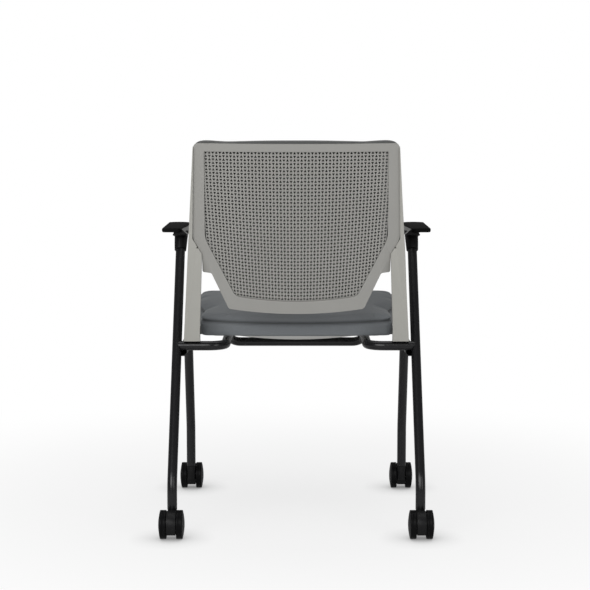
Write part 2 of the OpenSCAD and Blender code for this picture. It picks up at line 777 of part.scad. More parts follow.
// rings as [share of the outline, 0 at the rear face to 1 at the front face]
back_ring_share = [[0.3, 0], [0.6, 0], [0.8, 0], [0.88, 0], [0.94, 0], [0.985, 0.02], [1, 0.3],
    [0.995, 0.62], [0.975, 0.86], [0.94, 0.97], [0.86, 1.03], [0.7, 1.07], [0.4, 1.1]];
back_crown_share = 1.1;
module back_pad() {
    n = len(back_ring);
    pts = concat([pad_point(back_mid, 0)],
        [for (r = back_ring_share) for (p = shrink(back_ring, back_mid, r[0])) pad_point(p, r[1])],
        [pad_point(back_mid, back_crown_share)]);
    color("#5d6064") back_frame() polyhedron(pts, skin_faces(len(back_ring_share), n), convexity = 6);
}

// Casters: dir is +1 or -1, the side of the stem on which the wheels trail
hood_gap = 1;
hood_inset = 2;
hood_w = caster_w - 2 * wheel_w - 2 * hood_gap;
hood_r = wheel_d / 2 - hood_inset;
boss_r = tube_r * 0.95;
swivel_gap = 0.8;
boss_top = leg_foot_z - insert_flange_t - swivel_gap;
boss_z = wheel_d * 0.42;
module caster_body(x, y, dir) {
    color("#1a1a1c")
        translate([x, y, 0])
            difference() {
                union() {
                    translate([-hood_w / 2, dir * caster_trail, wheel_d / 2])
                        rotate([0, 90, 0]) cylinder(h = hood_w, r = hood_r);
                    translate([0, 0, boss_z]) cylinder(h = boss_top - boss_z, r = boss_r);
                    translate([-hood_w / 2, dir > 0 ? 0 : -caster_trail, boss_z])
                        cube([hood_w, caster_trail, boss_z]);
                }
                translate([-caster_w, -wheel_d * 1.5, -over])
                    cube([2 * caster_w, 3 * wheel_d, hood_z + over]);
                translate([-hood_w / 2, dir * caster_trail, wheel_d / 2])
                    rotate([0, 90, 0]) drill(hood_w, axle_d / 2);
                translate([0, 0, wheel_d / 2]) cylinder(h = wheel_d, r = stem_d / 2);
            }
}
stem_collar = 0.4;
module caster_stem(x, y) {
    color("#8d8f92")
        translate([x, y, wheel_d / 2])
            cylinder(h = leg_foot_z + stem_len - wheel_d / 2 - stem_collar, r = stem_d / 2);
}
axle_len = caster_w - 2 * wheel_w * 0.35;
module caster_axle(x, y, dir) {
    color("#8d8f92")
        translate([x - axle_len / 2, y + dir * caster_trail, wheel_d / 2])
            rotate([0, 90, 0]) cylinder(h = axle_len, r = axle_d / 2);
}
// a wheel with a flat inner face and a domed outer face, turned about its axle
dome_h = 4.4;
dome_r = (wheel_d * wheel_d / 4 + dome_h * dome_h) / (2 * dome_h);
web_t = 3.2;
module caster_wheel(x, y, dir, side) {
    color("#232325")
        translate([x, y + dir * caster_trail, wheel_d / 2])
            rotate([0, side * 90, 0])
                translate([0, 0, caster_w / 2 - wheel_w])
                    difference() {
                        intersection() {
                            cylinder(h = wheel_w, r = wheel_d / 2);
                            translate([0, 0, wheel_w - dome_r]) sphere(r = dome_r, $fn = 128);
                        }
                        difference() {
                            translate([0, 0, -over])
                                cylinder(h = wheel_w - dome_h - web_t + over, r = wheel_d / 2 - web_t);
                            translate([0, 0, -2 * over]) cylinder(h = wheel_w, r = axle_d / 2 + web_t);
                        }
                        translate([0, 0, -over])
                            cylinder(h = wheel_w * 0.65 + soft_gap + over, r = axle_d / 2 + run_gap);
                    }
}

module rear_leg_right() { rear_leg(); }
module rear_leg_left() { mirror([1, 0, 0]) rear_leg(); }
module front_leg_right() { front_leg(); }
module front_leg_left() { mirror([1, 0, 0]) front_leg(); }
module pivot_stub_right() { pivot_stub(); }
module pivot_stub_left() { mirror([1, 0, 0]) pivot_stub(); }
module upright_right() { upright(); }
module upright_left() { mirror([1, 0, 0]) upright(); }
module arm_bracket_right() { arm_bracket(); }
module arm_bracket_left() { mirror([1, 0, 0]) arm_bracket(); }
module arm_pad_right() { arm_pad(); }
module arm_pad_left() { mirror([1, 0, 0]) arm_pad(); }
module hinge_bracket_right() { hinge_bracket(); }
module hinge_bracket_left() { mirror([1, 0, 0]) hinge_bracket(); }
module seat_arm_right() { seat_arm(); }
module seat_arm_left() { mirror([1, 0, 0]) seat_arm(); }

module caster_body_rear_left() { caster_body(-rear_x, rear_y, -1); }
module caster_stem_rear_left() { caster_stem(-rear_x, rear_y); }
module caster_axle_rear_left() { caster_axle(-rear_x, rear_y, -1); }
module wheel_rear_left_out() { caster_wheel(-rear_x, rear_y, -1, -1); }
module wheel_rear_left_in() { caster_wheel(-rear_x, rear_y, -1, 1); }
module caster_body_rear_right() { caster_body(rear_x, rear_y, -1); }
module caster_stem_rear_right() { caster_stem(rear_x, rear_y); }
module caster_axle_rear_right() { caster_axle(rear_x, rear_y, -1); }
module wheel_rear_right_out() { caster_wheel(rear_x, rear_y, -1, 1); }
module wheel_rear_right_in() { caster_wheel(rear_x, rear_y, -1, -1); }
module caster_body_front_left() { caster_body(-front_x, front_y, 1); }
module caster_stem_front_left() { caster_stem(-front_x, front_y); }
module caster_axle_front_left() { caster_axle(-front_x, front_y, 1); }
module wheel_front_left_out() { caster_wheel(-front_x, front_y, 1, -1); }
module wheel_front_left_in() { caster_wheel(-front_x, front_y, 1, 1); }
module caster_body_front_right() { caster_body(front_x, front_y, 1); }
module caster_stem_front_right() { caster_stem(front_x, front_y); }
module caster_axle_front_right() { caster_axle(front_x, front_y, 1); }
module wheel_front_right_out() { caster_wheel(front_x, front_y, 1, 1); }
module wheel_front_right_in() { caster_wheel(front_x, front_y, 1, -1); }
rear_leg_left();
rear_leg_right();
front_leg_left();
front_leg_right();
pivot_stub_left();
pivot_stub_right();
seat_carrier();
upright_left();
upright_right();
back_shell();
back_pad();
shell_screws();
arm_bracket_left();
arm_bracket_right();
arm_pad_left();
arm_pad_right();
arm_screws();
hinge_bracket_left();
hinge_bracket_right();
hinge_pins();
leg_inserts();
seat_pad();
seat_board();
seat_pan();
seat_arm_left();
seat_arm_right();
pan_screws();
rest_pads();
caster_body_rear_left();
caster_stem_rear_left();
caster_axle_rear_left();
wheel_rear_left_out();
wheel_rear_left_in();
caster_body_rear_right();
caster_stem_rear_right();
caster_axle_rear_right();
wheel_rear_right_out();
wheel_rear_right_in();
caster_body_front_left();
caster_stem_front_left();
caster_axle_front_left();
wheel_front_left_out();
wheel_front_left_in();
caster_body_front_right();
caster_stem_front_right();
caster_axle_front_right();
wheel_front_right_out();
wheel_front_right_in();
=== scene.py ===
# %% [markdown]
# # A nesting chair
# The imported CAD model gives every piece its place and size. This lesson dresses it:
# real finishes on the steel, moulded shells with soft edges and fine holes, and
# upholstery that swells like foam under cloth. Lengths are in metres, X runs to the
# sitter's right, Y forward and Z up from the floor.

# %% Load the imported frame
import bisect
import json
import math
import bpy
import bmesh
from mathutils import Matrix, Vector


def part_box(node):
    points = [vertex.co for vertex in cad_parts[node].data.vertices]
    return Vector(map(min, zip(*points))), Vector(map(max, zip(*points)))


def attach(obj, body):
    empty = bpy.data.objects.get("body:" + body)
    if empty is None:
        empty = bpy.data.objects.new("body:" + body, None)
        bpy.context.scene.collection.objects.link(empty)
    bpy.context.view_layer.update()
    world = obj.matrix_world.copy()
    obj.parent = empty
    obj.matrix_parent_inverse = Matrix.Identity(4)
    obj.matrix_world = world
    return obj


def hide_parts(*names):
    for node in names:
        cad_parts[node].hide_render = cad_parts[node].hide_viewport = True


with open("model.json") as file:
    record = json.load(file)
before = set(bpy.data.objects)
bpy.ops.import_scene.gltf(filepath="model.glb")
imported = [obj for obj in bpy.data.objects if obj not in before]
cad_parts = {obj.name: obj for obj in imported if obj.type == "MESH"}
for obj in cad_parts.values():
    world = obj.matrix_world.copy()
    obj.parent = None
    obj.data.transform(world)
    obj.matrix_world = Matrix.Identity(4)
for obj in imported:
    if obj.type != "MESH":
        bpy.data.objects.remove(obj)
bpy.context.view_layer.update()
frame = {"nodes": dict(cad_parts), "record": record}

MM = 0.001

# %% [markdown]
# ## The camera
# The photograph looks at the chair from behind, from a little above the back. A long
# lens of about 103 mm keeps the rear and front casters nearly the same size. The camera
# was worked out from the one thickness that all tubes share, so it needs no fitting by eye.
# A twentieth of a degree of turn puts the chair's middle where the photograph has it.

# %% Camera
REAR_STEM_Y = -272.5
PHOTO_DISTANCE = 3599
PHOTO_HEIGHT = 912.4
PITCH_DOWN = 6.13
TURN_LEFT = 0.0458
LENS = 103.12
SENSOR_WIDTH = 36

camera_data = bpy.data.cameras.new("camera")
camera_data.lens = LENS
camera_data.sensor_width = SENSOR_WIDTH
camera = bpy.data.objects.new("camera", camera_data)
camera.location = Vector((0, REAR_STEM_Y - PHOTO_DISTANCE, PHOTO_HEIGHT)) * MM
camera.rotation_euler = (math.radians(90 - PITCH_DOWN), 0, math.radians(TURN_LEFT))
bpy.context.scene.collection.objects.link(camera)
bpy.context.scene.camera = camera
print("camera stands", round(-camera.location.y, 3), "m behind the middle of the chair")

# %% [markdown]
# ## Helpers for finishes
# A real finish has a colour, a roughness and a fine relief. Colours are written as the
# sRGB hex values that a paint card would show and turned to linear light once. One small
# function adds any shader node with its settings and links. Another blends a darker and a
# lighter share of a colour, since no real surface has one even tone.

# %% Colour and node helpers
MIX_A, MIX_B, MIX_RESULT = 6, 7, 2


def linear(hex_colour):
    channels = [int(hex_colour[i:i + 2], 16) / 255 for i in (1, 3, 5)]
    lit = [c / 12.92 if c <= 0.04045 else ((c + 0.055) / 1.055) ** 2.4 for c in channels]
    return (*lit, 1.0)


def add(material, kind, sockets=None, **settings):
    node = material.node_tree.nodes.new(kind)
    for name, value in settings.items():
        setattr(node, name, value)
    for socket, value in (sockets or {}).items():
        if isinstance(value, bpy.types.NodeSocket):
            material.node_tree.links.new(value, node.inputs[socket])
        else:
            node.inputs[socket].default_value = value
    return node


def new_material(name, colour, roughness, metallic=0.0, ior=1.5, specular=0.5):
    material = bpy.data.materials.new(name)
    material.use_nodes = True
    shader = material.node_tree.nodes["Principled BSDF"]
    shader.inputs["Base Color"].default_value = linear(colour)
    shader.inputs["Roughness"].default_value = roughness
    shader.inputs["Metallic"].default_value = metallic
    shader.inputs["IOR"].default_value = ior
    shader.inputs["Specular IOR Level"].default_value = specular
    material.diffuse_color = linear(colour)
    return material, shader


def object_place(material, scale=1.0):
    place = add(material, "ShaderNodeTexCoord")
    mapping = add(material, "ShaderNodeMapping",
                  {"Vector": place.outputs["Object"], "Scale": (scale, scale, scale)})
    return mapping.outputs["Vector"]


def share_of(colour, share):
    return (*(c * share for c in linear(colour)[:3]), 1.0)


def noise(material, place, size_mm, detail):
    return add(material, "ShaderNodeTexNoise", {"Vector": place, "Scale": 1 / (size_mm * MM), "Detail": detail})


def two_tones(material, factor, low, high):
    tone = add(material, "ShaderNodeMix", {"Factor": factor}, data_type="RGBA")
    for socket, colour in ((MIX_A, low), (MIX_B, high)):
        if isinstance(colour, bpy.types.NodeSocket):
            material.node_tree.links.new(colour, tone.inputs[socket])
        else:
            tone.inputs[socket].default_value = colour
    return tone.outputs[MIX_RESULT]


print("mid grey #808080 is", round(linear("#808080")[0], 4), "in linear light")

# %% [markdown]
# ## Finishes of the frame
# The tubes are steel under a black powder coat. Powder melts into a satin film with a faint
# orange peel, whose bumps are about a millimetre across. A noise bump of that size breaks up
# the long highlights a little, which a flat black would not do.

# %% Powder coat on steel
def powder_coat():
    material, shader = new_material("steel powder coated satin black", "#0f0f11", 0.26, specular=0.38)
    place = object_place(material)
    peel = noise(material, place, 1.4, 2.0)
    bump = add(material, "ShaderNodeBump", {"Height": peel.outputs["Fac"], "Strength": 0.06, "Distance": 0.15 * MM})
    cloud = noise(material, place, 60, 3.0)
    rough = add(material, "ShaderNodeMapRange", {"Value": cloud.outputs["Fac"], "To Min": 0.22, "To Max": 0.3})
    # The peel bends the long highlight a little, and the cloud keeps it from being even.
    material.node_tree.links.new(bump.outputs["Normal"], shader.inputs["Normal"])
    material.node_tree.links.new(rough.outputs["Result"], shader.inputs["Roughness"])
    return material


frame_black = powder_coat()
print("made", frame_black.name)

# %% [markdown]
# ## Moulded plastics
# The back shell is glass-filled nylon in a warm light grey, moulded against a spark-eroded
# tool, so the skin has a fine even grain and a soft sheen. The uprights are aluminium painted
# to match. The sockets, caster hoods and wheels are the same kind of plastic in black. The
# grain is about 0.3 mm, drawn at 0.7 mm or more so that it still shows from three metres
# away. A slow drift of a few percent stands for the flow of the melt.

# %% Moulded plastics
FLOW_MM = 90


def moulded(name, colour, roughness, grain_mm, relief_mm, drift=0.04, specular=0.5):
    material, shader = new_material(name, colour, roughness, specular=specular)
    place = object_place(material)
    grain = noise(material, place, grain_mm, 1.5)
    bump = add(material, "ShaderNodeBump",
               {"Height": grain.outputs["Fac"], "Strength": 0.15, "Distance": relief_mm * MM})
    material.node_tree.links.new(bump.outputs["Normal"], shader.inputs["Normal"])
    flow = noise(material, place, FLOW_MM, 2.0)
    tone = two_tones(material, flow.outputs["Fac"], share_of(colour, 1 - drift), share_of(colour, 1 + drift))
    material.node_tree.links.new(tone, shader.inputs["Base Color"])
    return material


# Light greys with a soft sheen: the shell a little darker and rougher than the uprights.
shell_grey = moulded("nylon moulded warm light grey", "#959490", 0.5, 0.7, 0.02)
upright_grey = moulded("aluminium painted warm light grey", "#a3a29c", 0.45, 0.9, 0.01, 0.02)
pan_grey = moulded("polypropylene moulded light grey", "#9b9b98", 0.45, 0.7, 0.02)
# Blacks that stay deep: little mirror light, so that the lamps do not turn them grey.
nylon_black = moulded("nylon moulded black", "#0f0f10", 0.45, 0.8, 0.02, 0.1, 0.2)
# Painted reflection: the rough inner flank of the armrest is drawn light grey for the light it catches at a grazing
# angle, the one light spot on the arms.
flank_painted_reflection = moulded("light grey painted reflection on nylon flank", "#878786", 0.7, 1.2, 0.08, 0.2, 0.3)
# Wheels a little glossier than the arm pads, whose skin is dull, and the rubber is dullest.
wheel_black = moulded("nylon moulded hard black", "#0a0a0b", 0.42, 1.2, 0.02, 0.1, 0.08)
arm_black = moulded("polyurethane skin moulded black", "#0e0e0e", 0.65, 0.9, 0.04, 0.1, 0.07)
rest_black = moulded("rubber moulded black", "#1a1a1a", 0.7, 0.9, 0.04, 0.1)
plastics = (shell_grey, pan_grey, nylon_black, flank_painted_reflection, wheel_black, arm_black, rest_black)
print("moulded plastics:", [plastic.name for plastic in plastics])

# %% [markdown]
# ## Metals and plywood
# Pins, axles, stems and screws are zinc plated. The plating has a faint spangle that changes
# its roughness from spot to spot. The seat board is beech plywood, whose glue lines show as
# thin stripes in its sheen.

# %% Metals and plywood
SPANGLE = 0.06


def zinc(name, colour, roughness):
    material, shader = new_material(name, colour, roughness, metallic=1.0)
    place = object_place(material)
    spangle = noise(material, place, 2, 3.0)
    rough = add(material, "ShaderNodeMapRange",
                {"Value": spangle.outputs["Fac"], "To Min": roughness - SPANGLE, "To Max": roughness + SPANGLE})
    material.node_tree.links.new(rough.outputs["Result"], shader.inputs["Roughness"])
    return material


def plywood():
    material, shader = new_material("beech plywood cut", "#b98f62", 0.6)
    place = object_place(material)
    layers = add(material, "ShaderNodeTexWave",
                 {"Vector": place, "Scale": 1 / (28 * MM), "Distortion": 1.2}, bands_direction="Z")
    tone = add(material, "ShaderNodeMapRange", {"Value": layers.outputs["Fac"], "To Min": 0.5, "To Max": 0.68})
    material.node_tree.links.new(tone.outputs["Result"], shader.inputs["Roughness"])
    return material


steel_bright = zinc("steel zinc plated bright", "#a9abad", 0.32)
steel_dark = zinc("steel zinc plated black", "#3a3a3c", 0.4)
ply = plywood()
print("metals and wood:", steel_bright.name, "|", steel_dark.name, "|", ply.name)

# %% [markdown]
# ## Upholstery cloth
# Seat and back are covered in a plain woven cloth with a slight sheen. Real yarns are about
# 0.5 mm wide and would blur to nothing at this distance, so the weave is drawn at 1.6 mm.
# Crossed waves give warp and weft on every side; a soft noise makes single yarns a little
# lighter. Where the seat's panels are sewn together the cloth tucks in, and the shade in the
# tuck is painted: the seat cloth darkens by how near the seam is, read from an attribute that
# the cushion gets later. The black sheet behind the back pad, which the holes of the shell look
# through to, is painted shade.

# %% Woven cloth
WAVE_SCALE = 0.314
FLECK = 0.14
# Share of the cloth's colour left in the painted shade along the seam.
PAINTED_SEAM_SHADE = 0.3


def woven(name, colour, yarn_mm, roughness=0.62, sheen=0.25, specular=0.5, seam_painted_shade=False):
    material, shader = new_material(name, colour, roughness, specular=specular)
    shader.inputs["Sheen Weight"].default_value = sheen
    shader.inputs["Sheen Roughness"].default_value = 0.4
    place = object_place(material)
    warp, weft, rise = (
        add(material, "ShaderNodeTexWave", {"Vector": place, "Scale": WAVE_SCALE / (yarn_mm * MM), "Distortion": 0.6},
            bands_direction=axis) for axis in "XYZ")
    cross = add(material, "ShaderNodeMath", {0: warp.outputs["Fac"], 1: weft.outputs["Fac"]}, operation="ADD")
    cloth = add(material, "ShaderNodeMath", {0: cross.outputs[0], 1: rise.outputs["Fac"]}, operation="ADD")
    bump = add(material, "ShaderNodeBump", {"Height": cloth.outputs[0], "Strength": 0.3, "Distance": 0.12 * MM})
    material.node_tree.links.new(bump.outputs["Normal"], shader.inputs["Normal"])
    fleck = noise(material, place, 3, 4.0)
    tone = two_tones(material, fleck.outputs["Fac"], share_of(colour, 1 - FLECK), share_of(colour, 1 + FLECK))
    if seam_painted_shade:
        # Painted shade: the cloth darkens towards the seam as the seam attribute rises.
        seam = add(material, "ShaderNodeAttribute", attribute_name="seam")
        tone = two_tones(material, seam.outputs["Fac"], tone, share_of(colour, PAINTED_SEAM_SHADE))
    material.node_tree.links.new(tone, shader.inputs["Base Color"])
    return material


seat_cloth = woven("polyester woven mid grey", "#676b6e", 1.6, seam_painted_shade=True)
back_cloth = woven("polyester woven dark grey", "#454645", 1.6)
# A black sheet on the back pad's rear, seen only through the holes: painted shade.
painted_shade_sheet = woven("black sheet as painted shade", "#0c0c0c", 1.2, 0.9, 0.0, 0.08)
print("cloths:", seat_cloth.name, "|", back_cloth.name, "|", painted_shade_sheet.name)

# %% [markdown]
# ## Finishes on the CAD pieces
# Tubes, pins, screws and stems are right as the CAD model has them, so they keep their
# meshes and only get a finish by the record's material slot. The screws of the shell are
# painted like the uprights that they sit in.

# %% Dress the CAD nodes
finish_of_slot = {
    "frame_paint": frame_black, "shell_grey": shell_grey, "pan_grey": pan_grey,
    "seat_fabric": seat_cloth, "back_fabric": back_cloth, "arm_foam": arm_black,
    "black_nylon": nylon_black, "wheel_nylon": wheel_black, "rest_rubber": rest_black,
    "plywood": ply, "plain_steel": steel_bright, "dark_steel": steel_dark,
}
slot_of_node = {part["node"]: part["material_slot"] for part in frame["record"]["subparts"]}
for node_name, node_object in frame["nodes"].items():
    node_object.data.materials.clear()
    node_object.data.materials.append(finish_of_slot[slot_of_node[node_name]])
frame["nodes"]["shell_screws"].data.materials[0] = upright_grey
print("dressed", len(frame["nodes"]), "CAD nodes")

# %% [markdown]
# ## Making a piece
# Each new piece is a bmesh in millimetres. Placing it means turning it into its frame,
# scaling it to metres and giving it to the body that carries it. A softened piece starts from
# the CAD node's own mesh, has flat faces joined up and gets its sharp edges rounded.

# %% Piece helpers
body_of_node = {node: body for body, nodes in frame["record"]["behaviour"]["bodies"].items() for node in nodes}


def make_piece(name, bm, node, *more_nodes, place=Matrix.Identity(4), smooth=True):
    bmesh.ops.transform(bm, matrix=Matrix.Scale(MM, 4) @ place, verts=bm.verts)
    for face in bm.faces:
        face.smooth = smooth
    mesh = bpy.data.meshes.new(name)
    bm.to_mesh(mesh)
    bm.free()
    obj = bpy.data.objects.new(name, mesh)
    bpy.context.scene.collection.objects.link(obj)
    mesh.materials.append(finish_of_slot[slot_of_node[node]])
    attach(obj, body_of_node[node])
    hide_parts(node, *more_nodes)
    return obj


def everything(bm):
    return bm.verts[:] + bm.edges[:] + bm.faces[:]


def node_mesh(node):
    bm = bmesh.new()
    bm.from_mesh(frame["nodes"][node].data)
    bmesh.ops.transform(bm, matrix=Matrix.Scale(1 / MM, 4), verts=bm.verts)
    bmesh.ops.remove_doubles(bm, verts=bm.verts, dist=0.002)
    return bm


def soft_edges(obj, width_mm, segments=3, angle=30):
    rim = obj.modifiers.new("soft edges", "BEVEL")
    rim.width = width_mm * MM
    rim.segments = segments
    rim.limit_method = "ANGLE"
    rim.angle_limit = math.radians(angle)
    rim.use_clamp_overlap = True
    rim.harden_normals = True
    return rim


def softened(node, width_mm, segments=3, angle=30, cut=None):
    bm = node_mesh(node)
    if cut:
        cut(bm)
    bmesh.ops.dissolve_limit(bm, angle_limit=math.radians(1), verts=bm.verts, edges=bm.edges)
    obj = make_piece(node + "_soft", bm, node)
    soft_edges(obj, width_mm, segments, angle)
    return obj


print("helpers ready for", len(body_of_node), "nodes")

# %% [markdown]
# ## Moulded parts with soft edges
# A moulding tool leaves no knife edges: every corner has a radius of a millimetre or so that
# catches a thin line of light. The hoods and brackets keep their CAD shape, and a bevel
# modifier rounds only their sharp edges. The arm sockets change a little more: in the
# photograph they reach 5 mm further down the leg, and their platform ends flush with the
# socket. Their sloped inner flank gets a painted reflection: it is drawn light grey for the
# light that it catches at a grazing angle.

# %% Sockets and brackets
REAR_RAKE = 33.3
SOCKET_LONGER = 5
SOCKET_MOUTH = 4
PLATFORM_OUT_X = 283.5


def shape_socket(bm):
    outward = math.copysign(1, sum(v.co.x for v in bm.verts))
    bmesh.ops.bisect_plane(bm, geom=everything(bm), clear_outer=True,
                           plane_co=(outward * PLATFORM_OUT_X, 0, 0), plane_no=(outward, 0, 0))
    bmesh.ops.holes_fill(bm, edges=[e for e in bm.edges if e.is_boundary])
    rake = math.radians(REAR_RAKE)
    down = Vector((0, -math.sin(rake), -math.cos(rake)))
    lowest = max(v.co.dot(down) for v in bm.verts)
    for vert in bm.verts:
        if vert.co.dot(down) > lowest - SOCKET_MOUTH:
            vert.co += down * SOCKET_LONGER


for side in ("left", "right"):
    bracket = softened("arm_bracket_" + side, 1.2, cut=shape_socket)
    # Painted reflection: faces that slope inward and up take the light grey finish.
    bracket.data.materials.append(flank_painted_reflection)
    for face in bracket.data.polygons:
        slopes_inward_and_up = abs(face.normal.x) > 0.5 and face.normal.z > 0.5
        if slopes_inward_and_up:
            face.material_index = 1
    softened("hinge_bracket_" + side, 0.5, 2)
    softened("seat_arm_" + side, 0.5, 2)
print("softened the sockets and brackets")

# %% [markdown]
# ## The frame of the back
# The back leans fifteen degrees. Its pieces are easier to draw upright, with X across and Z
# up the back from the pivot bar, so they are modelled there and leaned over at the end. The
# shell is part of a wide cylinder, whose radius comes from how little the rows of holes sag
# in the photograph.

# %% Where the back stands
REAR_KNEE_Z = 112
BAR_Z = 391
BAR_Y = REAR_STEM_Y + (BAR_Z - REAR_KNEE_Z) * math.tan(math.radians(REAR_RAKE))
BACK_LEAN = 15
on_back = Matrix.Translation((0, BAR_Y, BAR_Z)) @ Matrix.Rotation(math.radians(BACK_LEAN), 4, "X")

BACK_LEN = 476
SHELL_R = 3500
SHELL_T = 5
FIELD_T, FIELD_SUNK = 1.2, 0.2
SHELL_SEAT_Y = -5.5
BAND_X = 228
SHELL_AXIS_Y = SHELL_SEAT_Y + math.sqrt(SHELL_R ** 2 - BAND_X ** 2)


def shell_y(x, behind=0.0):
    return SHELL_AXIS_Y - math.sqrt((SHELL_R + behind) ** 2 - x * x)


off_back = on_back.inverted()
print("the shell's middle lies", round(shell_y(0) - shell_y(BAND_X), 1), "mm behind its edges")

# %% [markdown]
# ## Uprights
# Each upright stands on the pivot bar. Its foot is cut on a slope, so that from behind the
# whole bar shows below it and only the front of the foot wraps over the tube.

# %% Uprights on the bar
FOOT_REAR_Y, FOOT_REAR_Z = -15.5, 17
FOOT_TUBE_Z = 10.9


def cut_foot(bm):
    bmesh.ops.transform(bm, matrix=off_back, verts=bm.verts)
    slope = Vector((0, FOOT_REAR_Z - FOOT_TUBE_Z, -FOOT_REAR_Y))
    bmesh.ops.bisect_plane(bm, geom=everything(bm), clear_inner=True,
                           plane_co=(0, FOOT_REAR_Y, FOOT_REAR_Z), plane_no=slope)
    bmesh.ops.holes_fill(bm, edges=[e for e in bm.edges if e.is_boundary])
    bmesh.ops.transform(bm, matrix=on_back, verts=bm.verts)


for side in ("left", "right"):
    piece = softened("upright_" + side, 1.6, cut=cut_foot)
    piece.data.materials[0] = upright_grey
    foot = min(vert.co.z for vert in piece.data.vertices) / MM
    print(piece.name, "stands", round(foot - BAR_Z, 1), "mm above the bar's axis")

# %% [markdown]
# ## The perforated field
# The flexible middle of the shell is a thin panel with some two thousand small triangular
# holes, every second one upside down. A texture could fake them, but real holes show the
# dark pad behind, darkened further by a black sheet of painted shade, and catch light on their
# edges. A grid gives one cell a hole: each face is inset, and the inner square's upper or lower
# corners are merged, so it becomes a triangle.
# Its tip reaches further from the cell's middle than its base, so that all holes lie evenly.
# Downward the columns draw together a little and the rows follow the curve of the chin.

# %% Perforated panel
FIELD_TOP_X, FIELD_TOP_Z = 199.6, 459
FIELD_SIDE_X, FIELD_SIDE_Z = 201, 260
FIELD_LOW_X, FIELD_LOW_Z = 135.6, 125.8
FIELD_CHIN_Z = 113.8
HOLE_COLUMNS = 52
HOLE_ROWS = 43
HOLE_HALF_WIDTH_SHARE = 0.42
HOLE_APEX_SHARE, HOLE_BASE_SHARE = 0.46, 0.3
LOW_PITCH_SHARE = 0.91
PITCH_EASE = 1.5
FIELD_MARGIN = 6


def field_edge_x(z):
    if z > FIELD_SIDE_Z:
        return FIELD_SIDE_X
    return FIELD_LOW_X + (FIELD_SIDE_X - FIELD_LOW_X) * (z - FIELD_LOW_Z) / (FIELD_SIDE_Z - FIELD_LOW_Z)


def field_chin_z(x):
    return FIELD_CHIN_Z + (FIELD_LOW_Z - FIELD_CHIN_Z) * (x / FIELD_LOW_X) ** 2


def perforated_panel():
    bm = bmesh.new()
    columns, rows = HOLE_COLUMNS + 2, HOLE_ROWS + 2  # one more all round, under the border
    bmesh.ops.create_grid(bm, x_segments=columns, y_segments=rows, size=1)
    bmesh.ops.scale(bm, vec=(columns / 2, rows / 2, 1), verts=bm.verts)
    cells = bm.faces[:]
    bmesh.ops.inset_individual(bm, faces=cells, thickness=0.15, depth=0)
    for face in cells:
        centre = face.calc_center_median()
        column, row = math.floor(centre.x), math.floor(centre.y)
        points_up = (column + row) % 2 == 0
        for vert in face.verts:
            above = vert.co.y > centre.y
            right = vert.co.x > centre.x
            apex = above == points_up
            sideways = 0 if apex else HOLE_HALF_WIDTH_SHARE
            upward = HOLE_APEX_SHARE if apex else HOLE_BASE_SHARE
            vert.co.x = centre.x + (sideways if right else -sideways)
            vert.co.y = centre.y + (upward if above else -upward)
    bmesh.ops.delete(bm, geom=cells, context="FACES_ONLY")
    bmesh.ops.remove_doubles(bm, verts=bm.verts, dist=0.001)
    pitch = 2 * FIELD_TOP_X / HOLE_COLUMNS
    for vert in bm.verts:
        down = (HOLE_ROWS / 2 - vert.co.y) / HOLE_ROWS
        x = vert.co.x * pitch * (1 - (1 - LOW_PITCH_SHARE) * max(0, down) ** PITCH_EASE)
        z = FIELD_TOP_Z + (field_chin_z(x) - FIELD_TOP_Z) * down
        vert.co = (x, 0, z)
    middles = [(face, face.calc_center_median()) for face in bm.faces]
    outside = [face for face, middle in middles
               if abs(middle.x) > min(field_edge_x(middle.z), FIELD_TOP_X) + FIELD_MARGIN]
    bmesh.ops.delete(bm, geom=outside, context="FACES")
    made = bmesh.ops.extrude_face_region(bm, geom=bm.faces[:])
    moved = {v for v in made["geom"] if isinstance(v, bmesh.types.BMVert)}
    for vert in bm.verts:
        vert.co.y = shell_y(vert.co.x, FIELD_T if vert in moved else FIELD_SUNK)
    bmesh.ops.recalc_face_normals(bm, faces=bm.faces)
    return bm


bm = perforated_panel()
print("panel has", len(bm.faces), "faces")
panel = make_piece("back_shell_panel", bm, "back_shell", place=on_back, smooth=False)

# %% [markdown]
# ## The border of the shell
# Round the field runs a smooth border, five millimetres thick, whose outline narrows to a
# waist and ends in a curved chin. It is one flat outline with a window, cut into strips so
# that it can bend round the sitter's back, and then thickened. The strips are narrow enough
# that the curve looks smooth; the one that would cut the step of the waist is left out.
# Below the step a wing runs on to the upright. It is folded forward, so it looks darker.

# %% Shell border
WING_X, WING_IN_X, WING_Z, STEP_Z, BAND_Z = 208, 187.9, 179.6, 225, 260
CORNER_X, CORNER_Z, CHIN_Z = 150.5, 95.6, 84.3
WEB_TILT = 20
CHIN_STEPS = 12
STRIP = 8
STRIP_ON_STEP = 216
LIP_X, LIP_R = 221.9, 9


def mirrored_loop(half):
    return half + [(-x, z) for x, z in reversed(half) if x > 0]


def loop_edges(bm, points):
    verts = [bm.verts.new((x, 0, z)) for x, z in points]
    return [bm.edges.new((verts[i], verts[(i + 1) % len(verts)])) for i in range(len(verts))]


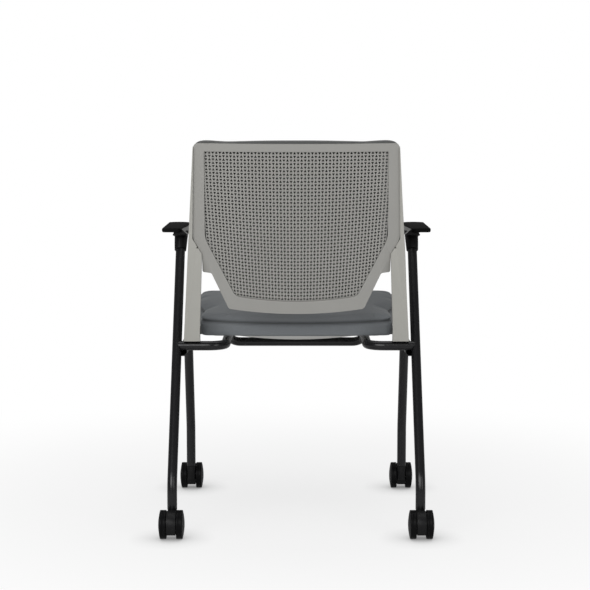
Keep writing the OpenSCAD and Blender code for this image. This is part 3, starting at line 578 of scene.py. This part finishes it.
def shell_border():
    chin = [i / CHIN_STEPS for i in range(CHIN_STEPS + 1)]
    outer = [(CORNER_X * s, CHIN_Z + (CORNER_Z - CHIN_Z) * s * s) for s in chin]
    outer += [(WING_IN_X, WING_Z), (WING_X, WING_Z), (WING_X, STEP_Z), (BAND_X, BAND_Z), (LIP_X, BACK_LEN)]
    inner = [(FIELD_LOW_X * s, field_chin_z(FIELD_LOW_X * s)) for s in chin]
    inner += [(FIELD_SIDE_X, FIELD_SIDE_Z), (FIELD_TOP_X, FIELD_TOP_Z)]
    fold = Vector((WING_IN_X - CORNER_X, 0, WING_Z - CORNER_Z)).normalized()
    bm = bmesh.new()
    for half, radius in ((outer, {CORNER_X: 5, WING_IN_X: 3, WING_X: 4, BAND_X: 10, LIP_X: LIP_R}),
                         (inner, {FIELD_LOW_X: 9, FIELD_SIDE_X: 12, FIELD_TOP_X: 2.5})):
        edges = loop_edges(bm, mirrored_loop(half))
        for x, r in radius.items():
            corners = [v for e in edges if e.is_valid for v in e.verts if abs(abs(v.co.x) - x) < 0.01]
            bmesh.ops.bevel(bm, geom=list(set(corners)), offset=r, offset_type="OFFSET", segments=5,
                            profile=0.5, affect="VERTICES", material=-1)
            edges = bm.edges[:]
    bmesh.ops.triangle_fill(bm, edges=bm.edges[:], use_beauty=True)
    last_strip = int(BAND_X / STRIP)
    for i in range(-last_strip, last_strip + 1):
        if abs(i * STRIP) != STRIP_ON_STEP:
            bmesh.ops.bisect_plane(bm, geom=everything(bm), plane_co=(i * STRIP, 0, 0), plane_no=(1, 0, 0))
    for side in (-1, 1):
        middles = [(face, face.calc_center_median()) for face in bm.faces]
        wing = [face for face, middle in middles if side * middle.x > WING_IN_X - STRIP and middle.z < STEP_Z]
        around = list({v for f in wing for v in f.verts}) + list({e for f in wing for e in f.edges}) + wing
        bmesh.ops.bisect_plane(bm, geom=around, plane_co=(side * WING_IN_X, 0, WING_Z),
                               plane_no=(side * fold.z, 0, -fold.x))
    made = bmesh.ops.extrude_face_region(bm, geom=bm.faces[:])
    moved = {v for v in made["geom"] if isinstance(v, bmesh.types.BMVert)}
    for vert in bm.verts:
        past_fold = (abs(vert.co.x) - WING_IN_X) * fold.z - (vert.co.z - WING_Z) * fold.x
        on_wing = vert.co.z < STEP_Z and abs(vert.co.x) > WING_IN_X - 1
        forward = max(0, past_fold) * math.tan(math.radians(WEB_TILT)) if on_wing else 0
        vert.co.y = shell_y(vert.co.x, SHELL_T if vert in moved else 0) + forward
    bmesh.ops.recalc_face_normals(bm, faces=bm.faces)
    return bm


bm = shell_border()
print("border has", len(bm.faces), "faces")
border = make_piece("back_shell_border", bm, "back_shell", place=on_back)
soft_edges(border, 1.2, 3, 40)

# %% [markdown]
# ## Foam under cloth
# Foam pushes outward and the cover holds it back, so a cushion is fullest in the middle of
# each panel and tight at its edges. That balance is hard to model by hand. Here the CAD form
# is made a little smaller, remeshed to even squares and blown up by a cloth simulation with
# no gravity; the side that rests on its board or shell is held still. The result is made
# the mesh, so nothing is simulated later.

# %% Even squares
def even_squares(name, node, inset_mm, voxel_mm, held):
    bm = node_mesh(node)
    bm.normal_update()
    shifts = [(v, v.normal * inset_mm) for v in bm.verts]
    for vert, shift in shifts:
        if not held(vert.co):
            vert.co -= shift
    bmesh.ops.transform(bm, matrix=Matrix.Scale(MM, 4), verts=bm.verts)
    mesh = bpy.data.meshes.new(name + "_start")
    bm.to_mesh(mesh)
    bm.free()
    draft = bpy.data.objects.new(name + "_start", mesh)
    bpy.context.scene.collection.objects.link(draft)
    squares = draft.modifiers.new("even squares", "REMESH")
    squares.mode = "VOXEL"
    squares.voxel_size = voxel_mm * MM
    depsgraph = bpy.context.evaluated_depsgraph_get()
    draft_data = bpy.data.meshes.new_from_object(draft.evaluated_get(depsgraph))
    draft.modifiers.clear()
    draft.data = draft_data
    return draft


print("a draft is remeshed to squares of four or five millimetres")

# %% [markdown]
# The cover is a cloth with air pressure inside. Twenty frames are enough for it to come to
# rest.

# %% Pressure under a cover
PRESSURE = 4.0
LAST_FRAME = 20
CLOTH_QUALITY = 5


def blown_up(draft, held):
    starts = [v.co.copy() for v in draft.data.vertices]
    still = draft.vertex_groups.new(name="held")
    still.add([i for i, co in enumerate(starts) if held(co / MM)], 1.0, "REPLACE")
    cloth = draft.modifiers.new("cover", "CLOTH")
    cloth.settings.use_pressure = True
    cloth.settings.uniform_pressure_force = PRESSURE
    cloth.settings.effector_weights.gravity = 0
    cloth.settings.vertex_group_mass = "held"
    cloth.settings.quality = CLOTH_QUALITY
    cloth.point_cache.frame_end = LAST_FRAME
    for number in range(1, LAST_FRAME + 1):
        bpy.context.scene.frame_set(number)
    depsgraph = bpy.context.evaluated_depsgraph_get()
    blown = bpy.data.meshes.new_from_object(draft.evaluated_get(depsgraph))
    bpy.context.scene.frame_set(1)
    return starts, [v.co.copy() for v in blown.vertices]


print("the cover is blown up over", LAST_FRAME, "frames")

# %% [markdown]
# A cover does not stretch without end, so no point moves more than a few millimetres. After a
# light smoothing each cushion gets its own shaping, and one step of subdivision rounds it.

# %% Swelling helper
def swollen(name, node, inset_mm, cap_mm, voxel_mm, held, shaped):
    draft = even_squares(name, node, inset_mm, voxel_mm, held)
    starts, ends = blown_up(draft, held)
    bm = bmesh.new()
    bm.from_mesh(draft.data)
    furthest = 0
    for vert, start, end in zip(bm.verts, starts, ends):
        move = end - start
        if move.length > cap_mm * MM:
            move *= cap_mm * MM / move.length
        furthest = max(furthest, move.length)
        vert.co = start + move
    bmesh.ops.smooth_vert(bm, verts=bm.verts, factor=0.5, use_axis_x=True, use_axis_y=True, use_axis_z=True)
    bmesh.ops.transform(bm, matrix=Matrix.Scale(1 / MM, 4), verts=bm.verts)
    for vert in bm.verts:
        vert.co = shaped(vert.co)
    bpy.data.objects.remove(draft)
    print(name, "has", len(bm.faces), "squares and swelled by", round(furthest / MM, 1), "mm")
    piece = make_piece(name, bm, node)
    finer = piece.modifiers.new("finer", "SUBSURF")
    finer.levels = finer.render_levels = 1
    return piece


# %% [markdown]
# ## Shape of the seat cushion
# The seat cushion stands on its plywood board, tilted by two and a half degrees. It is boxed:
# a top panel and a side band meet in a seam that runs round it at four fifths of its height.
# The band stands nearly straight and the cloth tucks in at the seam. To find the rim, the
# outline of the CAD pad is read as one furthest point for each direction from its middle.

# %% Plan of the seat
HINGE_Y, HINGE_Z = -29.5, 430
SEAT_TILT = 2.5
PAD_DROP = 21
SEAT_DEPTH, SEAT_TAIL = 386, 26
on_seat = Matrix.Translation((0, HINGE_Y, HINGE_Z)) @ Matrix.Rotation(math.radians(SEAT_TILT), 4, "X")
off_seat = on_seat.inverted()
seat_middle = Vector((0, SEAT_DEPTH / 2 - SEAT_TAIL))


def turn_of(arm):
    return math.atan2(arm.y, arm.x)


def seat_outline():
    bm = node_mesh("seat_pad")
    furthest = {}
    for vert in bm.verts:
        arm = (off_seat @ vert.co).xy - seat_middle
        if arm.length > 20:
            turn = round(turn_of(arm), 2)
            if turn not in furthest or arm.length > furthest[turn].length:
                furthest[turn] = arm
    bm.free()
    return [furthest[turn] for turn in sorted(furthest)]


outline = seat_outline()
turns = [turn_of(arm) for arm in outline]


def reach_towards(arm):
    ray = arm.normalized()
    after = bisect.bisect(turns, turn_of(arm)) % len(outline)
    a, b = outline[after - 1], outline[after]
    side = b - a
    return (a.x * b.y - a.y * b.x) / (ray.x * side.y - ray.y * side.x)


print("the seat's outline has", len(outline), "points")

# %% [markdown]
# The height of the pad changes over its plan: low in the middle of the rear edge, higher at
# its two corners and at the front. One rule gives both the CAD pad's height and the fuller
# one of foam under cloth, and their quotient lifts each point.

# %% Seat shaping
HALF_REAR_WIDTH = 218
CAD_HEIGHTS = (27.3, 44, 49.3)
FULL_HEIGHTS = (35, 44, 53)
BOARD_RIM = 9
RIM_FROM, RIM_WIDTH = 0.86, 0.08
SEAM_SHARE, SEAM_DEPTH, SEAM_HALF = 0.8, 6.0, 3.4
BOXED = 0.85
FLANK_FROM, FLANK_OUT = 180, 2


def clamped(value):
    return max(0, min(1, value))


def pad_height(local, heights):
    middle, side, front = heights
    forward = (local.y + SEAT_TAIL) / SEAT_DEPTH
    rear = middle + (side - middle) * min(1, abs(local.x) / HALF_REAR_WIDTH) ** 2
    return rear + (front - rear) * max(0, forward) ** 0.8


def nearness_to_seam(local, share, height):
    rim = clamped((share - RIM_FROM) / RIM_WIDTH)
    above_seam = local.z + PAD_DROP - SEAM_SHARE * height
    return rim * math.exp(-(above_seam / SEAM_HALF) ** 2)


def on_board(point):
    return (off_seat @ point).z < BOARD_RIM - PAD_DROP


def seat_shape(point):
    local = off_seat @ point
    height = pad_height(local, CAD_HEIGHTS)
    fuller = pad_height(local, FULL_HEIGHTS) / height
    arm = local.xy - seat_middle
    reach = reach_towards(arm)
    share = arm.length / reach
    rim = clamped((share - RIM_FROM) / RIM_WIDTH)
    boxed = share + BOXED * rim * (1 - share)
    tuck = SEAM_DEPTH * nearness_to_seam(local, share, height)
    arm *= (boxed - tuck / reach) / share
    if abs(arm.x) > FLANK_FROM:
        arm.x += math.copysign(FLANK_OUT * rim, arm.x)
    plan = seat_middle + arm
    return on_seat @ Vector((plan.x, plan.y, (local.z + PAD_DROP) * fuller - PAD_DROP))


# How near the seam a point is; the seat cloth paints its shade from this.
def seam_shade_weight(point):
    local = off_seat @ point
    arm = local.xy - seat_middle
    return nearness_to_seam(local, arm.length / reach_towards(arm), pad_height(local, FULL_HEIGHTS))


print("the seam runs round the seat at", SEAM_SHARE, "of its height")

# %% [markdown]
# ## Shape of the back cushion
# The back cushion lies against the shell and never passes through it or the uprights. Its
# top edge is drawn level and out to the corners, where it peeps over the shell.

# %% Back shaping
ON_SHELL, OFF_SHELL = 6, 0.4
UPRIGHT_FROM_X, UPRIGHT_FRONT, UPRIGHT_TAPER = 181, 8.9, 9
TOP_FROM, TOP_BLEND = 430, 40
TOP_LIFT, CORNER_DROP, HALF_TOP_WIDTH = 3.2, 7.0, 205
CORNER_FROM, CORNER_STRETCH, CORNER_END = 150, 0.16, 220.5


def on_shell(point):
    local = off_back @ point
    return local.y < shell_y(local.x) + ON_SHELL


def back_shape(point):
    local = off_back @ point
    across = abs(local.x)
    behind = shell_y(local.x) + OFF_SHELL
    if across > UPRIGHT_FROM_X:
        behind = max(behind, UPRIGHT_FRONT - UPRIGHT_TAPER * local.z / BACK_LEN)
    local.y = max(local.y, behind)
    top = clamped((local.z - TOP_FROM) / TOP_BLEND)
    local.z += top * (TOP_LIFT - CORNER_DROP * min(1, across / HALF_TOP_WIDTH) ** 2.2)
    outward = min(max(0, across - CORNER_FROM) * CORNER_STRETCH, max(0, CORNER_END - across))
    local.x += top * math.copysign(outward, local.x)
    return on_back @ local


print("the back pad stands", OFF_SHELL, "mm off the shell")

# %% [markdown]
# ## The two cushions
# With their rules ready, both cushions are made. The seat's points then learn how near the
# seam they are, for its painted shade, and the rear faces of the back pad get the black sheet of painted shade.

# %% Seat and back cushions
SHADE_SHEET_DEPTH, SHADE_SHEET_BELOW_TOP = 3, 8

seat_cushion = swollen("seat_cushion", "seat_pad", 0.6, 5, 4.4, on_board, seat_shape)
back_cushion = swollen("back_cushion", "back_pad", 1.5, 5, 5.0, on_shell, back_shape)
# The seam attribute carries the painted shade along the seat's seam.
seam = seat_cushion.data.attributes.new("seam", "FLOAT", "POINT")
seam.data.foreach_set("value", [seam_shade_weight(v.co / MM) for v in seat_cushion.data.vertices])
# Painted shade: faces that rest on the shell, below the top edge, get the black sheet.
back_cushion.data.materials.append(painted_shade_sheet)
for face in back_cushion.data.polygons:
    local = off_back @ (face.center / MM)
    if local.y < shell_y(local.x) + SHADE_SHEET_DEPTH and local.z < BACK_LEN - SHADE_SHEET_BELOW_TOP:
        face.material_index = 1

# %% [markdown]
# ## Arm pads
# Each pad is moulded in one piece of foam with its own tough skin. Such a pad has round
# corners in plan, a rolled rim and a top that is very slightly crowned so that water and
# crumbs run off. A cube takes all three: its upright edges are bevelled wide, its rim narrow,
# and a few cuts along it let the top rise. Its inner side is then drawn inward toward the
# front, as the photograph has it.

# %% Arm pads
ARM_EDGE = 3.4
ARM_CORNER_SHARE = 0.22
ARM_CROWN = 0.9
ARM_CUTS = 12
ARM_INNER_REAR, ARM_INNER_FRONT, ARM_OUTER = 0.0, 6.0, 1.8


def arm_pad(side):
    low, high = (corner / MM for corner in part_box("arm_pad_" + side))
    inward = math.copysign(1, -low.x)
    size, middle = high - low, (low + high) / 2
    bm = bmesh.new()
    bmesh.ops.create_cube(bm, size=1)
    bmesh.ops.scale(bm, vec=size, verts=bm.verts)
    upright = [e for e in bm.edges if abs(e.verts[0].co.z - e.verts[1].co.z) > size.z / 2]
    bmesh.ops.bevel(bm, geom=upright, offset=size.x * ARM_CORNER_SHARE, segments=10, profile=0.5,
                    affect="EDGES", material=-1)
    rim = [e for e in bm.edges if len(e.link_faces) == 2 and abs(e.verts[0].co.z - e.verts[1].co.z) < 0.01
           and abs(e.calc_face_angle() - math.pi / 2) < 0.1]
    bmesh.ops.bevel(bm, geom=rim, offset=ARM_EDGE, segments=5, profile=0.5, affect="EDGES", material=-1)
    for i in range(1 - ARM_CUTS // 2, ARM_CUTS // 2):
        bmesh.ops.bisect_plane(bm, geom=everything(bm), plane_co=(i * size.x / ARM_CUTS, 0, 0), plane_no=(1, 0, 0))
    for vert in bm.verts:
        off_middle = 2 * vert.co.x / size.x
        if vert.co.z > size.z * 0.45:
            vert.co.z -= ARM_CROWN * off_middle ** 2
        forward = vert.co.y / size.y + 0.5
        across = inward * vert.co.x / size.x + 0.5
        inner = ARM_INNER_REAR + (ARM_INNER_FRONT - ARM_INNER_REAR) * forward
        vert.co.x += inward * (ARM_OUTER + (inner - ARM_OUTER) * across)
    bmesh.ops.translate(bm, vec=middle, verts=bm.verts)
    return make_piece("arm_pad_skin_" + side, bm, "arm_pad_" + side)


for side in ("left", "right"):
    pad = arm_pad(side)
    print(pad.name, "is", [round(v / MM, 1) for v in pad.dimensions], "mm")

# %% [markdown]
# ## Casters
# A twin-wheel caster has two hollow wheels on one axle, with a hood between them that carries
# the stem. Seen from behind, the wheels look like a small barrel: the tread is flat near the
# hood and the outer side swells to a shallow dome. A profile of one wheel is spun about its
# axle, with a groove where the cap snaps in.

# %% Wheels
WHEEL_R, WHEEL_W, CASTER_W, AXLE_R = 31, 17.6, 57, 3.06
WHEEL_STEPS = 80
DOME_RISE = 4.4
DOME_R = (WHEEL_R ** 2 + DOME_RISE ** 2) / (2 * DOME_RISE)


def dome(radius):
    return WHEEL_W - DOME_R + math.sqrt(DOME_R ** 2 - radius ** 2)


def wheel_profile():
    inner = [(0.0, AXLE_R), (0.0, 6.2), (9.6, 6.6), (10.2, 8), (10.2, 26.4), (9.4, 27.6), (0.6, 27.9), (0.1, 28.4)]
    tread = [(0.1, 30.2), (0.35, 30.75), (0.9, 31.0), (5.6, 31.0), (5.9, 30.75), (6.5, 30.75),
             (6.8, 31.0), (12.0, 31.0), (12.9, 30.8), (13.5, 30.3)]
    cap = [(dome(r), r) for r in (29.0, 27.0, 25.0, 23.6)]
    groove = [(dome(23.4) - 0.7, 23.4), (dome(22.6) - 0.7, 22.6)]
    face = [(dome(r) - 0.15, r) for r in (22.4, 20.0, 16.0, 12.0, 8.0, 4.0, 0.0)]
    return inner + tread + cap + groove + face


def spun_wheel(node, x, y, outward):
    bm = bmesh.new()
    verts = [bm.verts.new((a, 0, r)) for a, r in wheel_profile()]
    edges = [bm.edges.new(pair) for pair in zip(verts, verts[1:])]
    bmesh.ops.spin(bm, geom=verts + edges, cent=(0, 0, 0), axis=(1, 0, 0), dvec=(0, 0, 0),
                   angle=math.tau, steps=WHEEL_STEPS, use_merge=True)
    bmesh.ops.remove_doubles(bm, verts=bm.verts, dist=0.001)
    bmesh.ops.edgeloop_fill(bm, edges=[e for e in bm.edges if e.is_boundary])
    bmesh.ops.translate(bm, vec=(CASTER_W / 2 - WHEEL_W, 0, 0), verts=bm.verts)
    if outward < 0:
        bmesh.ops.mirror(bm, geom=everything(bm), axis="X", merge_dist=-1)
        bmesh.ops.delete(bm, geom=[v for v in bm.verts if v.co.x > 0], context="VERTS")
    bmesh.ops.recalc_face_normals(bm, faces=bm.faces)
    bmesh.ops.translate(bm, vec=(x, y, WHEEL_R), verts=bm.verts)
    wheel = make_piece(node + "_spun", bm, node)
    soft_edges(wheel, 0.15, 2, 50)
    return wheel


for end in ("rear", "front"):
    for side in ("left", "right"):
        for place in ("out", "in"):
            node = f"wheel_{end}_{side}_{place}"
            low, high = (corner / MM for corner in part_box(node))
            hood_low, hood_high = (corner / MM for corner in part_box(f"caster_body_{end}_{side}"))
            x = (hood_low.x + hood_high.x) / 2
            outward = 1 if (low.x + high.x) / 2 > x else -1
            spun_wheel(node, x, (low.y + high.y) / 2, outward)
        softened(f"caster_body_{end}_{side}", 1.2)
print("wheels are", 2 * WHEEL_R, "mm across")

# %% [markdown]
# ## Seat pan
# The pan under the seat is a shallow moulded tray. Its CAD shape needs only softer edges.

# %% Seat pan
pan = softened("seat_pan", 0.8)
print(pan.name, "is", [round(v / MM, 1) for v in pan.dimensions], "mm")

# %% [markdown]
# ## Lights, floor and backdrop
# The photograph is a studio picture on white. A wide soft box stands behind the camera's left
# shoulder, a weaker one to its right, and a third hangs over the chair for the seat and the
# arms. The white backdrop shows at full strength to the camera, but lights the chair by only
# a quarter of it, or the blacks would go grey.

# %% World and lights
WORLD_LIGHT = 0.24
world = bpy.data.worlds.new("studio")
bpy.context.scene.world = world
world.use_nodes = True
world.node_tree.nodes.clear()
rays = add(world, "ShaderNodeLightPath")
soft = add(world, "ShaderNodeBackground", {"Color": (1, 1, 1, 1), "Strength": WORLD_LIGHT})
white = add(world, "ShaderNodeBackground", {"Color": (1, 1, 1, 1), "Strength": 1.0})
choose = add(world, "ShaderNodeMixShader",
             {"Fac": rays.outputs["Is Camera Ray"], 1: soft.outputs["Background"], 2: white.outputs["Background"]})
add(world, "ShaderNodeOutputWorld", {"Surface": choose.outputs["Shader"]})


def soft_box(name, place, aim, size, power):
    data = bpy.data.lights.new(name, "AREA")
    data.shape = "RECTANGLE"
    data.size, data.size_y = size
    data.energy = power
    lamp = bpy.data.objects.new(name, data)
    lamp.location = place
    lamp.rotation_euler = (Vector(aim) - Vector(place)).to_track_quat("-Z", "Y").to_euler()
    bpy.context.scene.collection.objects.link(lamp)
    return lamp


soft_box("key", (-1.5, -3.9, 2.3), (0, 0, 0.45), (3.6, 2.2), 112)
soft_box("fill", (2.6, -3.2, 1.7), (0, 0, 0.5), (1.4, 2.0), 26)
soft_box("top", (0, 0.2, 3.2), (0, 0, 0.4), (2.6, 2.6), 28)
bpy.context.scene.view_settings.view_transform = "Standard"

# %% [markdown]
# ## Floor
# The floor is seamless paper. To the camera most of its white is its own glow, all of it
# further out, so that it melts into the backdrop. Near the casters the glow fades with the
# room that is left above the paper, which draws the small dark shadows of contact.

# %% Floor
GLOW_NEAR, GLOW_FROM, GLOW_TO = 0.74, 0.25, 1.5
CONTACT_REACH, CONTACT_DARK = 0.07, 0.25


def floor_finish():
    material, shader = new_material("paper seamless white", "#f2f2f2", 0.9)
    place = add(material, "ShaderNodeTexCoord")
    reach = add(material, "ShaderNodeVectorMath", {0: place.outputs["Object"]}, operation="LENGTH")
    fade = add(material, "ShaderNodeMapRange",
               {"Value": reach.outputs["Value"], "From Min": GLOW_FROM, "From Max": GLOW_TO},
               interpolation_type="SMOOTHSTEP")
    near = add(material, "ShaderNodeAmbientOcclusion", {"Distance": CONTACT_REACH})
    contact = add(material, "ShaderNodeMapRange",
                  {"Value": near.outputs["AO"], "To Min": CONTACT_DARK, "To Max": 1.0})
    glow = add(material, "ShaderNodeEmission", {"Color": (1, 1, 1, 1), "Strength": contact.outputs["Result"]})
    rays = add(material, "ShaderNodeLightPath")
    share = add(material, "ShaderNodeMapRange", {"Value": fade.outputs["Result"], "To Min": GLOW_NEAR, "To Max": 1.0})
    shown = add(material, "ShaderNodeMath", {0: share.outputs["Result"], 1: rays.outputs["Is Camera Ray"]},
                operation="MULTIPLY")
    mix = add(material, "ShaderNodeMixShader",
              {"Fac": shown.outputs[0], 1: shader.outputs["BSDF"], 2: glow.outputs["Emission"]})
    tree = material.node_tree
    tree.links.new(mix.outputs["Shader"], tree.nodes["Material Output"].inputs["Surface"])
    return material


bm = bmesh.new()
bmesh.ops.create_grid(bm, x_segments=1, y_segments=1, size=12)
floor_mesh = bpy.data.meshes.new("floor")
bm.to_mesh(floor_mesh)
bm.free()
floor = bpy.data.objects.new("floor", floor_mesh)
floor_mesh.materials.append(floor_finish())
bpy.context.scene.collection.objects.link(floor)
print("floor is", floor.dimensions.x, "m wide")
